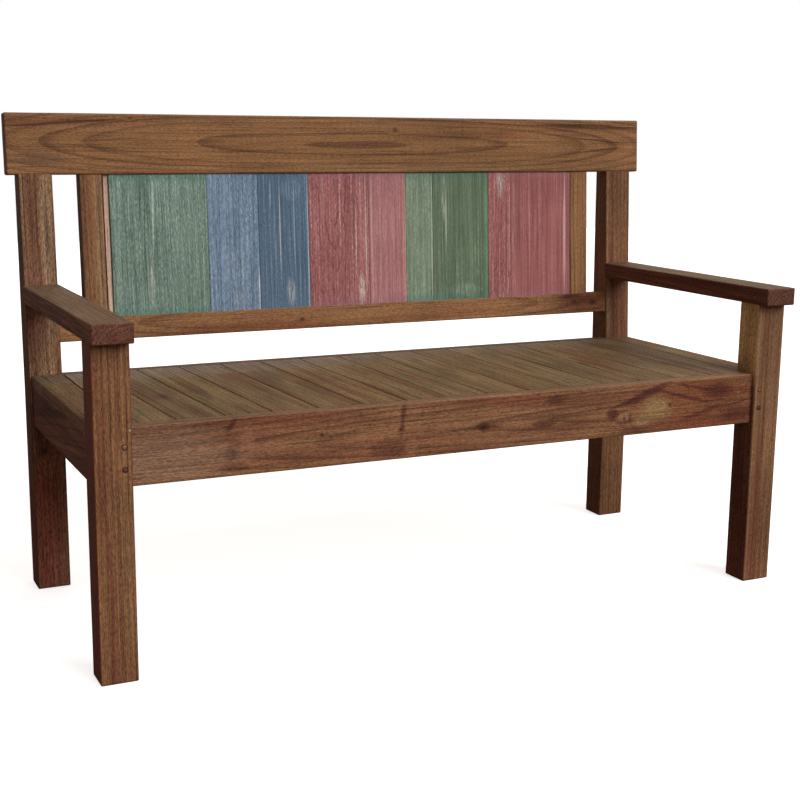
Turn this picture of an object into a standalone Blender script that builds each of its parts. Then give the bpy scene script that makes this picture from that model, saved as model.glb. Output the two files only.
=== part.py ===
"""Garden bench of reclaimed hardwood with a back panel of painted boards.

Metres, +Z up. The front of the bench faces -Y, and +X is to the right of someone looking at it
from the front. The origin is on the ground under the middle of the bench.

The frame is pegged mortise and tenon. The rear posts are cranked at seat height, so the top rail,
the lower back rail, the stiles and the painted boards share one plane that leans back. Those
pieces are placed in that plane by an empty, whose own axes are: x along the bench, y into the
back, z up the lean.
"""

import math

import bmesh
import bpy
from mathutils import Matrix

# ---------------------------------------------------------------- overall sizes
FRAME_WIDTH = 1.455           # over the outer faces of the legs
SEAT_HEIGHT = 0.453
ARM_HEIGHT = 0.635            # top of the armrests
CRANK_HEIGHT = 0.428          # where the rear posts begin to lean
BACK_LENGTH = 0.548           # crank to the top of the back, along the lean
BACK_LEAN = math.radians(3.47)
LEG_CLEAR_DEPTH = 0.495       # back of a front leg to the front of a rear post

# ---------------------------------------------------------------- fits
SHOULDER_GAP = 0.0003         # where one piece butts against another
TENON_SIDE_GAP = 0.0003       # round a tenon in its mortise
TENON_END_GAP = 0.0015        # past the end of a tenon
PEG_GAP = 0.0003              # round a peg in its hole
TENON_ROOT = 0.003            # how far a tenon is carried back into its own rail

# ---------------------------------------------------------------- legs, posts and arms
LEG_WIDTH = 0.067
LEG_DEPTH = 0.061
POST_DEPTH = 0.062
POST_TOP_DEPTH = 0.0445
ARM_THICKNESS = 0.036
ARM_OVERHANG = 0.026          # in front of the front legs
ARM_SIDE_OVERHANG = 0.0025    # past each side of the leg
LEG_TENON = (0.036, 0.026, 0.020)     # x, y and height, up into the arm
ARM_TENON_WIDTH = 0.040
ARM_TENON_HEIGHT = 0.016
ARM_TENON_LENGTH = 0.030

# ---------------------------------------------------------------- seat frame
RAIL_HEIGHT = 0.105
RAIL_THICKNESS = 0.028
FRONT_RAIL_SETBACK = 0.009    # behind the face of the front legs
REAR_RAIL_THICKNESS = 0.026
REAR_RAIL_OFFSET = 0.008      # how far its face stands in front of the rear posts
SIDE_RAIL_INSET = 0.005       # inside the outer faces of the legs
SEAT_TENON_THICKNESS = 0.012
SEAT_TENON_HEIGHT = 0.075
TENON_SPACING = 0.006         # wood left between the two tenons that meet in a leg
SIDE_TENON_LENGTH = 0.028     # side rails, along y
LEDGER_SIZE = 0.024

# ---------------------------------------------------------------- seat slats
SLAT_COUNT = 15               # between the legs
SLAT_THICKNESS = 0.020
SLAT_GAP = 0.002
SLAT_DRIFT = 0.028            # how far the rear ends of the first slats stand to the left
SLATS_OUT_OF_SQUARE = 11      # slats over which that drift dies away, counted from the left

# ---------------------------------------------------------------- back
TOP_RAIL_HEIGHT = 0.122
TOP_RAIL_THICKNESS = 0.029
TOP_RAIL_PROUD = 0.001        # in front of the rear posts
TOP_RAIL_OVERHANG = 0.0225    # past the outer faces of the legs
POST_TENON = (0.044, 0.012, 0.040)    # x, y and height, up into the top rail
LOWER_RAIL_HEIGHT = 0.0487
LOWER_RAIL_THICKNESS = 0.0285
LOWER_RAIL_RISE = 0.0886      # crank to its lower edge, along the lean
BACK_SETBACK = 0.0025         # lower rail and stiles, behind the face of the rear posts
LOWER_TENON_THICKNESS = 0.012
LOWER_TENON_HEIGHT = 0.034
LOWER_TENON_LENGTH = 0.034
STILE_WIDTH = 0.0475
STILE_CENTRE = 0.5835         # from the middle of the bench
GROOVE_WIDTH = 0.0086
GROOVE_DEPTH = 0.010
GROOVE_SETBACK = 0.011        # behind the face of the rear posts
TONGUE_LENGTH = 0.0085
BOARD_SETBACK = 0.0038        # painted boards, behind the face of the rear posts
BOARD_THICKNESS = 0.022
BOARD_GAP = 0.0005            # between neighbouring boards
STRIP_WIDTH = 0.0105          # bare filler strip beside the left stile
STRIP_JOINT = 0.002           # open joint between that stile and the strip
STRIP_SETBACK = 0.0085
STRIP_THICKNESS = 0.013

# Right edge of each painted board, as a share of the painted width, and its paint.
BOARDS = (
    ("green_1", 0.1870, "paint_green"),
    ("blue_1", 0.2896, "paint_blue"),
    ("blue_2", 0.3943, "paint_blue"),
    ("rose_1", 0.5245, "paint_rose"),
    ("rose_2", 0.6066, "paint_rose"),
    ("green_2", 0.6678, "paint_green"),
    ("green_3", 0.7991, "paint_green"),
    ("rose_3", 0.8531, "paint_rose"),
    ("rose_4", 1.0000, "paint_rose"),
)

# ---------------------------------------------------------------- pegs
PEG_RADIUS = 0.004
PEG_INSET = 0.0135            # from the shoulder of the joint to the peg
PEG_SPACING = 0.039           # between the two pegs of a seat rail joint
PEG_SIDES = 24

# ---------------------------------------------------------------- edges
FRAME_ARRIS = 0.0022
SLAT_ARRIS = 0.0013
BOARD_ARRIS = 0.0008
ARRIS_SEGMENTS = 2

FINISHES = {
    "frame_wood": ((0.21, 0.10, 0.052), 0.62),
    "seat_wood": ((0.15, 0.10, 0.055), 0.70),
    "bare_strip": ((0.38, 0.20, 0.13), 0.70),
    "paint_green": ((0.16, 0.24, 0.17), 0.60),
    "paint_blue": ((0.13, 0.19, 0.29), 0.60),
    "paint_rose": ((0.30, 0.11, 0.11), 0.60),
    "peg_wood": ((0.12, 0.06, 0.035), 0.65),
}

# ---------------------------------------------------------------- sizes that follow
HALF_WIDTH = FRAME_WIDTH / 2
LEG_INNER = HALF_WIDTH - LEG_WIDTH
LEG_MIDDLE = HALF_WIDTH - LEG_WIDTH / 2
SIN_LEAN = math.sin(BACK_LEAN)
COS_LEAN = math.cos(BACK_LEAN)
TOP_RAIL_FOOT = BACK_LENGTH - TOP_RAIL_HEIGHT
POST_BACK_REACH = TOP_RAIL_FOOT * SIN_LEAN + POST_TOP_DEPTH * COS_LEAN
RAIL_BACK_REACH = BACK_LENGTH * SIN_LEAN + (TOP_RAIL_THICKNESS - TOP_RAIL_PROUD) * COS_LEAN
POST_REACH = max(POST_DEPTH, POST_BACK_REACH, RAIL_BACK_REACH)
TOTAL_DEPTH = ARM_OVERHANG + LEG_DEPTH + LEG_CLEAR_DEPTH + POST_REACH
LEG_FRONT = ARM_OVERHANG - TOTAL_DEPTH / 2
LEG_BACK = LEG_FRONT + LEG_DEPTH
POST_FRONT = LEG_BACK + LEG_CLEAR_DEPTH
POST_BACK = POST_FRONT + POST_DEPTH
ARM_FOOT = ARM_HEIGHT - ARM_THICKNESS
SLAT_FOOT = SEAT_HEIGHT - SLAT_THICKNESS
RAIL_FOOT = SEAT_HEIGHT - RAIL_HEIGHT
SEAT_TENON_FOOT = RAIL_FOOT + (RAIL_HEIGHT - SEAT_TENON_HEIGHT) / 2
FRONT_RAIL_FACE = LEG_FRONT + FRONT_RAIL_SETBACK
FRONT_RAIL_BACK = FRONT_RAIL_FACE + RAIL_THICKNESS
REAR_RAIL_FACE = POST_FRONT - REAR_RAIL_OFFSET
REAR_RAIL_BACK = REAR_RAIL_FACE + REAR_RAIL_THICKNESS
SIDE_RAIL_FACE = HALF_WIDTH - SIDE_RAIL_INSET
SIDE_TENON_INNER = SIDE_RAIL_FACE - (RAIL_THICKNESS + SEAT_TENON_THICKNESS) / 2
SEAT_TENON_LENGTH = SIDE_TENON_INNER - TENON_SPACING - LEG_INNER
LOWER_RAIL_TOP = LOWER_RAIL_RISE + LOWER_RAIL_HEIGHT
STILE_INNER = STILE_CENTRE - STILE_WIDTH / 2
STILE_OUTER = STILE_CENTRE + STILE_WIDTH / 2
GROOVE_BACK = GROOVE_SETBACK + GROOVE_WIDTH


# ---------------------------------------------------------------- helpers
def clear_scene():
    for old in list(bpy.data.objects):
        bpy.data.objects.remove(old, do_unlink=True)


def finish_material(name, finish):
    colour, roughness = FINISHES[finish]
    material = bpy.data.materials.new(name)
    material.use_nodes = True
    shader = material.node_tree.nodes["Principled BSDF"]
    shader.inputs["Base Color"].default_value = (*colour, 1.0)
    shader.inputs["Roughness"].default_value = roughness
    return material


def link(name, mesh, place=(0.0, 0.0, 0.0), parent=None):
    piece = bpy.data.objects.new(name, mesh)
    bpy.context.scene.collection.objects.link(piece)
    piece.location = place
    piece.parent = parent
    return piece


def box_mesh(name, size):
    mesh = bpy.data.meshes.new(name)
    shape = bmesh.new()
    bmesh.ops.create_cube(shape, size=1.0)
    bmesh.ops.scale(shape, vec=size, verts=shape.verts)
    shape.to_mesh(mesh)
    shape.free()
    return mesh


def soften(piece, width):
    bevel = piece.modifiers.new("arris", "BEVEL")
    bevel.width = width
    bevel.segments = ARRIS_SEGMENTS
    bevel.limit_method = "ANGLE"
    bevel.angle_limit = math.radians(40)


def board(name, low, high, finish, arris, parent=None):
    """A sawn board between two corners of its parent's axes, with softened edges."""
    size = [b - a for a, b in zip(low, high)]
    middle = [(a + b) / 2 for a, b in zip(low, high)]
    piece = link(name, box_mesh(name, size), middle, parent)
    piece.data.materials.append(finish_material(name, finish))
    soften(piece, arris)
    return piece


def side_profile(name, outline, low_x, high_x, finish, arris):
    """A piece cut to an outline of (y, z) points and as wide as low_x to high_x."""
    mesh = bpy.data.meshes.new(name)
    shape = bmesh.new()
    middle = (low_x + high_x) / 2
    near = [shape.verts.new((low_x - middle, y, z)) for y, z in outline]
    far = [shape.verts.new((high_x - middle, y, z)) for y, z in outline]
    shape.faces.new(near)
    shape.faces.new(far[::-1])
    for i, vert in enumerate(near):
        j = (i + 1) % len(near)
        shape.faces.new((vert, far[i], far[j], near[j]))
    bmesh.ops.recalc_face_normals(shape, faces=shape.faces)
    shape.to_mesh(mesh)
    shape.free()
    piece = link(name, mesh, (middle, 0.0, 0.0))
    piece.data.materials.append(finish_material(name, finish))
    soften(piece, arris)
    return piece


def helper_box(name, low, high, parent=None, grow=(0.0, 0.0, 0.0)):
    """A hidden block for a tenon or a mortise, grown by a clearance on every side."""
    size = [b - a + 2 * g for a, b, g in zip(low, high, grow)]
    middle = [(a + b) / 2 for a, b in zip(low, high)]
    block = link(name, box_mesh(name, size), middle, parent)
    block.hide_render = True
    block.display_type = "WIRE"
    return block


def combine(piece, other, operation):
    step = piece.modifiers.new(other.name, "BOOLEAN")
    step.operation = operation
    step.solver = "EXACT"
    step.object = other


def joint(tenon_piece, mortise_piece, low, high, root_axis, root_end, parent=None):
    """A tenon between two corners, and its mortise.

    root_axis is the axis the tenon runs along, and root_end says which corner is at the shoulder:
    0 for low, 1 for high. The tenon is carried back past the shoulder, and the mortise is opened
    past it, so neither is left with a skin.
    """
    name = f"{tenon_piece.name}_in_{mortise_piece.name}"
    corners = [list(low), list(high)]
    corners[root_end][root_axis] += TENON_ROOT if root_end else -TENON_ROOT
    tenon = helper_box(f"tenon_{name}", corners[0], corners[1], parent)
    combine(tenon_piece, tenon, "UNION")
    grow = [TENON_SIDE_GAP] * 3
    grow[root_axis] = TENON_END_GAP
    combine(mortise_piece, helper_box(f"mortise_{name}", low, high, parent, grow), "DIFFERENCE")


def cylinder_mesh(name, radius, length):
    """A round bar along y, smooth round its side."""
    mesh = bpy.data.meshes.new(name)
    shape = bmesh.new()
    bmesh.ops.create_cone(
        shape,
        cap_ends=True,
        segments=PEG_SIDES,
        radius1=radius,
        radius2=radius,
        depth=length,
    )
    quarter_turn = Matrix.Rotation(math.radians(90), 3, "X")
    bmesh.ops.rotate(shape, verts=shape.verts, cent=(0, 0, 0), matrix=quarter_turn)
    shape.to_mesh(mesh)
    shape.free()
    for face in mesh.polygons:
        face.use_smooth = len(face.vertices) == 4
    return mesh


def peg(name, x, z, face, depth, pieces, parent=None):
    """A peg driven in from a face at y = face, through the pieces it locks."""
    middle = face + depth / 2
    bar = link(name, cylinder_mesh(name, PEG_RADIUS, depth), (x, middle, z), parent)
    bar.data.materials.append(finish_material(name, "peg_wood"))
    hole_depth = depth + 2 * PEG_GAP
    hole = link(f"hole_{name}", cylinder_mesh(f"hole_{name}", PEG_RADIUS + PEG_GAP, hole_depth),
                (x, middle, z), parent)
    hole.hide_render = True
    hole.display_type = "WIRE"
    for piece in pieces:
        combine(piece, hole, "DIFFERENCE")


def on_back(depth, rise):
    """The (y, z) of a point this far behind the leaning face and this far up it."""
    y = POST_FRONT + rise * SIN_LEAN + depth * COS_LEAN
    z = CRANK_HEIGHT + rise * COS_LEAN - depth * SIN_LEAN
    return y, z


def lean_face_y(z):
    """The leaning face of the rear posts, at a height."""
    return POST_FRONT + (z - CRANK_HEIGHT) * math.tan(BACK_LEAN)


def mirrored(side, inner, outer):
    """Low and high x of something on one side of the bench."""
    return (inner, outer) if side > 0 else (-outer, -inner)


# ---------------------------------------------------------------- the bench
clear_scene()

back = bpy.data.objects.new("back_plane", None)
bpy.context.scene.collection.objects.link(back)
back.location = (0.0, POST_FRONT, CRANK_HEIGHT)
back.rotation_euler = (-BACK_LEAN, 0.0, 0.0)

SIDES = (("left", -1), ("right", 1))

# Legs and posts.
front_legs = {}
rear_posts = {}
for side_name, side in SIDES:
    low_x, high_x = mirrored(side, LEG_INNER, HALF_WIDTH)
    front_legs[side_name] = board(
        f"front_leg_{side_name}",
        (low_x, LEG_FRONT, 0.0),
        (high_x, LEG_BACK, ARM_FOOT - SHOULDER_GAP),
        "frame_wood",
        FRAME_ARRIS,
    )
    post_outline = (
        (POST_FRONT, 0.0),
        (POST_BACK, 0.0),
        (POST_BACK, CRANK_HEIGHT),
        on_back(POST_TOP_DEPTH, TOP_RAIL_FOOT - SHOULDER_GAP),
        on_back(0.0, TOP_RAIL_FOOT - SHOULDER_GAP),
        (POST_FRONT, CRANK_HEIGHT),
    )
    rear_posts[side_name] = side_profile(
        f"rear_post_{side_name}", post_outline, low_x, high_x, "frame_wood", FRAME_ARRIS
    )

# Armrests: on the front legs, and tenoned into the leaning faces of the rear posts.
for side_name, side in SIDES:
    low_x, high_x = mirrored(side, LEG_INNER - ARM_SIDE_OVERHANG, HALF_WIDTH + ARM_SIDE_OVERHANG)
    arm_front = LEG_FRONT - ARM_OVERHANG
    arm_outline = (
        (arm_front, ARM_FOOT),
        (lean_face_y(ARM_FOOT) - SHOULDER_GAP, ARM_FOOT),
        (lean_face_y(ARM_HEIGHT) - SHOULDER_GAP, ARM_HEIGHT),
        (arm_front, ARM_HEIGHT),
    )
    arm = side_profile(
        f"armrest_{side_name}", arm_outline, low_x, high_x, "frame_wood", FRAME_ARRIS
    )
    middle_x = side * LEG_MIDDLE
    middle_y = LEG_FRONT + LEG_DEPTH / 2
    tenon_x, tenon_y, tenon_z = LEG_TENON
    joint(
        front_legs[side_name],
        arm,
        (middle_x - tenon_x / 2, middle_y - tenon_y / 2, ARM_FOOT),
        (middle_x + tenon_x / 2, middle_y + tenon_y / 2, ARM_FOOT + tenon_z),
        root_axis=2,
        root_end=0,
    )
    arm_middle = ARM_FOOT + ARM_THICKNESS / 2
    joint(
        arm,
        rear_posts[side_name],
        (middle_x - ARM_TENON_WIDTH / 2, lean_face_y(arm_middle), arm_middle - ARM_TENON_HEIGHT / 2),
        (
            middle_x + ARM_TENON_WIDTH / 2,
            lean_face_y(arm_middle) + ARM_TENON_LENGTH,
            arm_middle + ARM_TENON_HEIGHT / 2,
        ),
        root_axis=1,
        root_end=0,
    )

# Seat rails.
shoulder = LEG_INNER - SHOULDER_GAP
front_rail = board(
    "seat_rail_front",
    (-shoulder, FRONT_RAIL_FACE, RAIL_FOOT),
    (shoulder, FRONT_RAIL_BACK, SEAT_HEIGHT),
    "frame_wood",
    FRAME_ARRIS,
)
rear_rail = board(
    "seat_rail_rear",
    (-shoulder, REAR_RAIL_FACE, RAIL_FOOT),
    (shoulder, REAR_RAIL_BACK, SEAT_HEIGHT),
    "frame_wood",
    FRAME_ARRIS,
)
FRONT_TENON_Y = FRONT_RAIL_FACE + (RAIL_THICKNESS - SEAT_TENON_THICKNESS) / 2
REAR_TENON_Y = REAR_RAIL_BACK - SEAT_TENON_THICKNESS - 0.002
for side_name, side in SIDES:
    low_x, high_x = mirrored(side, LEG_INNER, LEG_INNER + SEAT_TENON_LENGTH)
    for rail, holder, tenon_y in (
        (front_rail, front_legs[side_name], FRONT_TENON_Y),
        (rear_rail, rear_posts[side_name], REAR_TENON_Y),
    ):
        joint(
            rail,
            holder,
            (low_x, tenon_y, SEAT_TENON_FOOT),
            (high_x, tenon_y + SEAT_TENON_THICKNESS, SEAT_TENON_FOOT + SEAT_TENON_HEIGHT),
            root_axis=0,
            root_end=0 if side > 0 else 1,
        )

SIDE_RAIL_TOP = SLAT_FOOT - SHOULDER_GAP
SIDE_TENON_TOP = SIDE_RAIL_TOP - (RAIL_HEIGHT - SEAT_TENON_HEIGHT) / 2
for side_name, side in SIDES:
    low_x, high_x = mirrored(side, SIDE_RAIL_FACE - RAIL_THICKNESS, SIDE_RAIL_FACE)
    rail = board(
        f"seat_rail_{side_name}",
        (low_x, LEG_BACK + SHOULDER_GAP, RAIL_FOOT),
        (high_x, POST_FRONT - SHOULDER_GAP, SIDE_RAIL_TOP),
        "frame_wood",
        FRAME_ARRIS,
    )
    cheek = (RAIL_THICKNESS - SEAT_TENON_THICKNESS) / 2
    for holder, near_y, far_y, root_end in (
        (front_legs[side_name], LEG_BACK - SIDE_TENON_LENGTH, LEG_BACK, 1),
        (rear_posts[side_name], POST_FRONT, POST_FRONT + SIDE_TENON_LENGTH, 0),
    ):
        joint(
            rail,
            holder,
            (low_x + cheek, near_y, SEAT_TENON_FOOT),
            (high_x - cheek, far_y, SIDE_TENON_TOP),
            root_axis=1,
            root_end=root_end,
        )

# Ledgers along the front and rear rails, under the slats.
ledger_end = LEG_INNER - 2 * SHOULDER_GAP
for name, near_y in (
    ("slat_ledger_front", FRONT_RAIL_BACK + SHOULDER_GAP),
    ("slat_ledger_rear", REAR_RAIL_FACE - SHOULDER_GAP - LEDGER_SIZE),
):
    board(
        name,
        (-ledger_end, near_y, SLAT_FOOT - SHOULDER_GAP - LEDGER_SIZE),
        (ledger_end, near_y + LEDGER_SIZE, SLAT_FOOT - SHOULDER_GAP),
        "frame_wood",
        SLAT_ARRIS,
    )



def slat_drift(joint_index):
    """Sideways shift of the rear end of a joint between slats. The two joints at the legs have none."""
    if joint_index == 0:
        return 0.0
    return -SLAT_DRIFT * max(0.0, 1 - (joint_index - 1) / SLATS_OUT_OF_SQUARE)


# Slats between the legs, and a narrower one over each side rail. They were laid by eye, so the
# first slat is a tapered one and its neighbours run a little out of square.
pitch = 2 * LEG_INNER / SLAT_COUNT
for i in range(SLAT_COUNT):
    left_x = -LEG_INNER + i * pitch + SLAT_GAP / 2
    slat = board(
        f"seat_slat_{i + 1:02d}",
        (left_x, FRONT_RAIL_BACK + SHOULDER_GAP, SLAT_FOOT),
        (left_x + pitch - SLAT_GAP, REAR_RAIL_FACE - SHOULDER_GAP, SEAT_HEIGHT),
        "seat_wood",
        SLAT_ARRIS,
    )
    for vertex in slat.data.vertices:
        if vertex.co.y > 0:
            vertex.co.x += slat_drift(i if vertex.co.x < 0 else i + 1)
for side_name, side in SIDES:
    low_x, high_x = mirrored(side, LEG_INNER + SLAT_GAP / 2, SIDE_RAIL_FACE)
    board(
        f"seat_slat_end_{side_name}",
        (low_x, LEG_BACK + SHOULDER_GAP, SLAT_FOOT),
        (high_x, POST_FRONT - SHOULDER_GAP, SEAT_HEIGHT),
        "seat_wood",
        SLAT_ARRIS,
    )

# Top rail, lying on the rear posts.
rail_end = HALF_WIDTH + TOP_RAIL_OVERHANG
top_rail = board(
    "top_rail",
    (-rail_end, -TOP_RAIL_PROUD, TOP_RAIL_FOOT),
    (rail_end, TOP_RAIL_THICKNESS - TOP_RAIL_PROUD, BACK_LENGTH),
    "frame_wood",
    FRAME_ARRIS,
    back,
)
tenon_x, tenon_y, tenon_z = POST_TENON
tenon_front = (TOP_RAIL_THICKNESS - tenon_y) / 2 - TOP_RAIL_PROUD
for side_name, side in SIDES:
    middle_x = side * LEG_MIDDLE
    joint(
        rear_posts[side_name],
        top_rail,
        (middle_x - tenon_x / 2, tenon_front, TOP_RAIL_FOOT),
        (middle_x + tenon_x / 2, tenon_front + tenon_y, TOP_RAIL_FOOT + tenon_z),
        root_axis=2,
        root_end=0,
        parent=back,
    )

# Lower back rail, tenoned between the rear posts.
lower_rail = board(
    "lower_back_rail",
    (-shoulder, BACK_SETBACK, LOWER_RAIL_RISE),
    (shoulder, BACK_SETBACK + LOWER_RAIL_THICKNESS, LOWER_RAIL_TOP),
    "frame_wood",
    FRAME_ARRIS,
    back,
)
lower_tenon_y = BACK_SETBACK + (LOWER_RAIL_THICKNESS - LOWER_TENON_THICKNESS) / 2
lower_tenon_z = LOWER_RAIL_RISE + (LOWER_RAIL_HEIGHT - LOWER_TENON_HEIGHT) / 2
for side_name, side in SIDES:
    low_x, high_x = mirrored(side, LEG_INNER, LEG_INNER + LOWER_TENON_LENGTH)
    joint(
        lower_rail,
        rear_posts[side_name],
        (low_x, lower_tenon_y, lower_tenon_z),
        (high_x, lower_tenon_y + LOWER_TENON_THICKNESS, lower_tenon_z + LOWER_TENON_HEIGHT),
        root_axis=0,
        root_end=0 if side > 0 else 1,
        parent=back,
    )

# One groove along each rail takes the stub tenons of the stiles and the tongues of the boards.
for rail, low_z, high_z in (
    (top_rail, TOP_RAIL_FOOT - GROOVE_DEPTH, TOP_RAIL_FOOT + GROOVE_DEPTH),
    (lower_rail, LOWER_RAIL_TOP - GROOVE_DEPTH, LOWER_RAIL_TOP + GROOVE_DEPTH),
):
    groove = helper_box(
        f"groove_{rail.name}",
        (-STILE_OUTER - TENON_SIDE_GAP, GROOVE_SETBACK, low_z),
        (STILE_OUTER + TENON_SIDE_GAP, GROOVE_BACK, high_z),
        back,
    )
    combine(rail, groove, "DIFFERENCE")


def panel_piece(name, low_x, high_x, front, thickness, finish, arris):
    """A stile, strip or painted board between the rails, with a tongue at each end."""
    low_z = LOWER_RAIL_TOP + SHOULDER_GAP
    high_z = TOP_RAIL_FOOT - SHOULDER_GAP
    piece = board(name, (low_x, front, low_z), (high_x, front + thickness, high_z),
                  finish, arris, back)
    for end_name, tongue_low, tongue_high in (
        ("foot", low_z - TONGUE_LENGTH, low_z + TENON_ROOT),
        ("head", high_z - TENON_ROOT, high_z + TONGUE_LENGTH),
    ):
        tongue = helper_box(
            f"tongue_{end_name}_{name}",
            (low_x + arris, GROOVE_SETBACK + TENON_SIDE_GAP, tongue_low),
            (high_x - arris, GROOVE_BACK - TENON_SIDE_GAP, tongue_high),
            back,
        )
        combine(piece, tongue, "UNION")
    return piece


for side_name, side in SIDES:
    low_x, high_x = mirrored(side, STILE_INNER, STILE_OUTER)
    panel_piece(f"back_stile_{side_name}", low_x, high_x, BACK_SETBACK,
                LOWER_RAIL_THICKNESS, "frame_wood", FRAME_ARRIS)

strip_left = -STILE_INNER + STRIP_JOINT
strip_right = strip_left + STRIP_WIDTH
panel_piece("filler_strip", strip_left, strip_right, STRIP_SETBACK, STRIP_THICKNESS,
            "bare_strip", BOARD_ARRIS)

painted_left = strip_right + BOARD_GAP
painted_width = STILE_INNER - painted_left
left_x = painted_left
for name, share, finish in BOARDS:
    right_x = painted_left + share * painted_width
    panel_piece(f"back_board_{name}", left_x, right_x - BOARD_GAP, BOARD_SETBACK,
                BOARD_THICKNESS, finish, BOARD_ARRIS)
    left_x = right_x

# Pegs: two through each front rail tenon, one through each lower back rail tenon.
rail_middle = SEAT_TENON_FOOT + SEAT_TENON_HEIGHT / 2
seat_peg_depth = FRONT_TENON_Y + SEAT_TENON_THICKNESS + 0.012 - LEG_FRONT
back_peg_depth = lower_tenon_y + LOWER_TENON_THICKNESS + 0.012
for side_name, side in SIDES:
    peg_x = side * (LEG_INNER + PEG_INSET)
    for place, z in (
        ("lower", rail_middle - PEG_SPACING / 2),
        ("upper", rail_middle + PEG_SPACING / 2),
    ):
        peg(f"seat_peg_{side_name}_{place}", peg_x, z, LEG_FRONT, seat_peg_depth,
            (front_legs[side_name], front_rail))
    peg(f"back_peg_{side_name}", side * (LEG_INNER + PEG_INSET + 0.004),
        lower_tenon_z + LOWER_TENON_HEIGHT / 2, 0.0, back_peg_depth,
        (rear_posts[side_name], lower_rail), back)
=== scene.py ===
"""Looks of a garden bench of reclaimed hardwood with a back of painted boards.

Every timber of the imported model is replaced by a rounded, slightly worn board of the same size, and
gets a wood or paint material that is computed from where a point sits in its own board.

A board's own axes are u along the grain, v across its wide face and w through its thickness, in
metres from the board's middle. They are stored in the mesh attribute "board". The attribute
"grain" is the same with a shift of its own for each board, so no two boards share a pattern. "rim"
is how far a point is from the nearest long edge, and "tip" how far it is from the nearest end.
"""

import math

import bpy
import numpy as np
from mathutils import Matrix, Vector


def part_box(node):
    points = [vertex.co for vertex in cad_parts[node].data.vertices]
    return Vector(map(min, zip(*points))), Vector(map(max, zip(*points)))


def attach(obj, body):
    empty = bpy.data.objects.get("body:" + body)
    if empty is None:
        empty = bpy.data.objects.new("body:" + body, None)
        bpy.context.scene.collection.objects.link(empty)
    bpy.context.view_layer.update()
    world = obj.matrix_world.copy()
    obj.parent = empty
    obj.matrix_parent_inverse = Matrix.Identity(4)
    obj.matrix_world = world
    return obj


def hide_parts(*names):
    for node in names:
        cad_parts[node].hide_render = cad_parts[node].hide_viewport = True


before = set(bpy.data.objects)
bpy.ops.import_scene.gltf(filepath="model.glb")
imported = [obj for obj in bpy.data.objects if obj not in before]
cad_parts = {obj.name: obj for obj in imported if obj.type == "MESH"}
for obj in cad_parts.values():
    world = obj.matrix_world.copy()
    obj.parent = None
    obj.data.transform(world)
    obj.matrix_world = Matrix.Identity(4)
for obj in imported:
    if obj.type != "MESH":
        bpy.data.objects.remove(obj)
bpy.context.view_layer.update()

# ---------------------------------------------------------------- sizes
BURIED = 0.004                # how far a butted end runs into its neighbour, as its tenon does
CRANK_HEIGHT = 0.428          # where the rear posts begin to lean
FRAME_ARRIS = 0.0026
SLAT_ARRIS = 0.0017
BOARD_ARRIS = 0.0008
TOP_RAIL_ARRIS = 0.0034
POST_FOOT_DEPTH = 0.062       # of a rear post, up to the crank
POST_TOP_DEPTH = 0.0442       # of a rear post, where the top rail lies on it
SLAT_GAP = 0.002
PEG_SIDES = 32
PEG_PROUD = 0.0003            # how far a peg's head stands in front of the wood
THIN_LINE = 0.003             # half width up to which a patch of paint is an unbroken line
BOARD_SEAM = 0.0002           # how much of the seam to the next board each painted board fills
STEP_ALONG = 0.012
STEP_ACROSS = 0.008
WAVE = 0.0003                 # unevenness of a planed face
WEAR = 0.0009                 # wood lost along an edge

# ---------------------------------------------------------------- seeds, the first of each kind
SEED = dict(leg=11, post=21, arm=31, rail=41, side_rail=43, ledger=45, slat=51, top_rail=81,
            lower_rail=82, upright=91, slat_tones=77, slat_patches=300)

# ---------------------------------------------------------------- camera
CAMERA_PLACE = (-1.21796, -2.51424, 0.95023)
CAMERA_YAW = -0.44501
CAMERA_PITCH = -0.19639
CAMERA_ROLL = 0.00963
CAMERA_LENS = 61.37


# ---------------------------------------------------------------- board meshes
def lattice_lines(length, step, radius):
    """Where the lattice cuts an axis: evenly, and closer together at the rounded ends."""
    margin = min(radius + 0.0035, 0.3 * length)
    near = np.array([0.0, 0.586 * radius, radius])
    count = max(2, round((length - 2 * margin) / step) + 1)
    return np.concatenate([near, np.linspace(margin, length - margin, count), length - near[::-1]])


def lattice_surface(lines):
    """Points and quads of the outside of a lattice with these lines on its three axes."""
    counts = [len(axis) for axis in lines]
    place = np.stack(np.meshgrid(*[np.arange(n) for n in counts], indexing="ij"), -1)
    last = np.array(counts) - 1
    outside = ((place == 0) | (place == last)).any(-1)
    number = np.full(counts, -1)
    number[outside] = np.arange(outside.sum())
    at = np.stack([lines[axis][place[..., axis][outside]] for axis in range(3)], -1)
    quads = []
    for axis in range(3):
        for end in (0, -1):
            sheet = np.take(number, end, axis)
            quad = np.stack([sheet[:-1, :-1], sheet[1:, :-1], sheet[1:, 1:], sheet[:-1, 1:]], -1)
            quad = quad.reshape(-1, 4)
            outward = (end == -1) != (axis == 1)
            quads.append(quad if outward else quad[:, ::-1])
    return at, np.concatenate(quads)


def wavering(at, random, lengths, amount):
    """A smooth unevenness from 0 to amount, made of a few long waves."""
    total = np.zeros(len(at))
    for _ in range(5):
        wave = random.uniform(0.5, 1.6, 3) / np.array(lengths)
        total += np.sin(at @ (wave * 2 * math.pi) + random.uniform(0, 2 * math.pi))
    return amount * np.clip(0.5 + total / 7, 0, 1)


def face_weighted_normals(points, quads):
    """Vertex normals that large faces dominate, so that a flat face stays flat up to its arris."""
    corners = points[quads]
    facing = np.cross(corners[:, 2] - corners[:, 0], corners[:, 3] - corners[:, 1])
    normals = np.zeros_like(points)
    for corner in range(4):
        np.add.at(normals, quads[:, corner], facing)
    return normals / np.maximum(np.linalg.norm(normals, axis=1), 1e-12)[:, None]


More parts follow.
